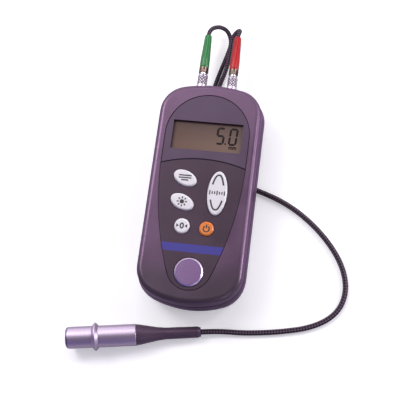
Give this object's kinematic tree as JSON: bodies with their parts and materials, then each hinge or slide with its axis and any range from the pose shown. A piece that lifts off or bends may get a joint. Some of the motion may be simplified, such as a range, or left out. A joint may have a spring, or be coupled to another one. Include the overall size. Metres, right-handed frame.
{
  "type": "ultrasonic thickness gauge",
  "caption": "Hand-held gauge with display, keys and test disc, and a straight contact probe on a two-lead cable with coaxial plugs.",
  "frame": {"origin": "on the flat of the back, under the middle of the housing", "axes": "+Z out of the face, +Y along the housing towards the sockets, +X to the right of the display"},
  "size_m": [0.1805, 0.2393, 0.0311],
  "materials": {
    "housing_plastic": "fine texture moulding",
    "panel_film": "satin printed film",
    "white_key": "satin moulding",
    "orange_key": "satin moulding",
    "silicone": "matte",
    "display_glass": "polished",
    "frame_plastic": "matte",
    "light_plate": "satin",
    "bright_steel": "ground",
    "plug_metal": "nickel plated",
    "screw_steel": "plain",
    "circuit_board": "solder mask",
    "black_plastic": "matte",
    "gold_contact": "plated",
    "white_insulator": "matte",
    "green_boot": "satin",
    "red_boot": "satin",
    "cable_jacket": "satin",
    "moulded_rubber": "satin",
    "battery_wrap": "printed sleeve",
    "spring_contact": "plated",
    "delay_plastic": "lapped",
    "sound_barrier": "cork",
    "crystal": "ceramic",
    "probe_fill": "cast"
  },
  "bodies": {
    "gauge": {"backlight_panel": "light_plate", "battery_left": "battery_wrap", "battery_right": "battery_wrap", "board_header": "black_plastic", "board_screws": "screw_steel", "boot_green": "green_boot", "boot_red": "red_boot", "cable_splitter": "moulded_rubber", "case_gasket": "silicone", "case_screws": "screw_steel", "contact_bridge": "spring_contact", "contact_minus": "spring_contact", "contact_plus": "spring_contact", "disc_nut": "plug_metal", "display_panel": "panel_film", "front_cover": "housing_plastic", "keypad_mat": "silicone", "keypad_panel": "panel_film", "lcd_frame": "frame_plastic", "lcd_glass": "display_glass", "lead_green": "cable_jacket", "lead_red": "cable_jacket", "main_board": "circuit_board", "plug_body_left": "plug_metal", "plug_body_right": "plug_metal", "plug_collar_left": "plug_metal", "plug_collar_right": "plug_metal", "plug_insulator_left": "white_insulator", "plug_insulator_right": "white_insulator", "plug_pin_left": "gold_contact", "plug_pin_right": "gold_contact", "probe_backing": "probe_fill", "probe_barrier": "sound_barrier", "probe_boot": "moulded_rubber", "probe_cable": "cable_jacket", "probe_crystal_left": "crystal", "probe_crystal_right": "crystal", "probe_delay_left": "delay_plastic", "probe_delay_right": "delay_plastic", "probe_shell": "bright_steel", "processor_chip": "black_plastic", "pulse_coil": "black_plastic", "pulser_board": "circuit_board", "rear_cover": "housing_plastic", "socket_body_left": "plug_metal", "socket_body_right": "plug_metal", "socket_contact_left": "gold_contact", "socket_contact_right": "gold_contact", "socket_insulator_left": "white_insulator", "socket_insulator_right": "white_insulator", "socket_nuts": "plug_metal", "zero_disc": "bright_steel"},
    "key_mode": {"key_mode": "white_key"},
    "key_lamp": {"key_lamp": "white_key"},
    "key_zero": {"key_zero": "white_key"},
    "key_power": {"key_power": "orange_key"},
    "key_select": {"key_select": "white_key"},
    "battery_door": {"battery_door": "housing_plastic"},
    "plug_sleeve_left": {"plug_sleeve_left": "plug_metal"},
    "plug_sleeve_right": {"plug_sleeve_right": "plug_metal"}
  },
  "joints": [
    {"name": "key_mode_press", "type": "slide", "parent": "gauge", "child": "key_mode", "axis": [0, 0, -1], "range_m": [0, 0.0008], "stiffness_N_per_m": 1500, "deforming": ["keypad_mat"]},
    {"name": "key_lamp_press", "type": "slide", "parent": "gauge", "child": "key_lamp", "axis": [0, 0, -1], "range_m": [0, 0.0008], "stiffness_N_per_m": 1500, "deforming": ["keypad_mat"]},
    {"name": "key_zero_press", "type": "slide", "parent": "gauge", "child": "key_zero", "axis": [0, 0, -1], "range_m": [0, 0.0008], "stiffness_N_per_m": 1500, "deforming": ["keypad_mat"]},
    {"name": "key_power_press", "type": "slide", "parent": "gauge", "child": "key_power", "axis": [0, 0, -1], "range_m": [0, 0.0008], "stiffness_N_per_m": 1500, "deforming": ["keypad_mat"]},
    {"name": "key_select_rock", "type": "hinge", "parent": "gauge", "child": "key_select", "pos_m": [0.0118, -0.001, 0.0262], "axis": [1, 0, 0], "range_deg": [-3.5, 3.5], "stiffness_Nm_per_rad": 0.12, "deforming": ["keypad_mat"]},
    {"name": "battery_door_open", "type": "hinge", "parent": "gauge", "child": "battery_door", "pos_m": [0, -0.0064, 0.0029], "axis": [1, 0, 0], "range_deg": [0, 80]},
    {"name": "plug_sleeve_left_pull", "type": "slide", "parent": "gauge", "child": "plug_sleeve_left", "axis": [0, 1, 0], "range_m": [0, 0.0012], "stiffness_N_per_m": 1500},
    {"name": "plug_sleeve_right_pull", "type": "slide", "parent": "gauge", "child": "plug_sleeve_right", "axis": [0, 1, 0], "range_m": [0, 0.0012], "stiffness_N_per_m": 1500}
  ]
}
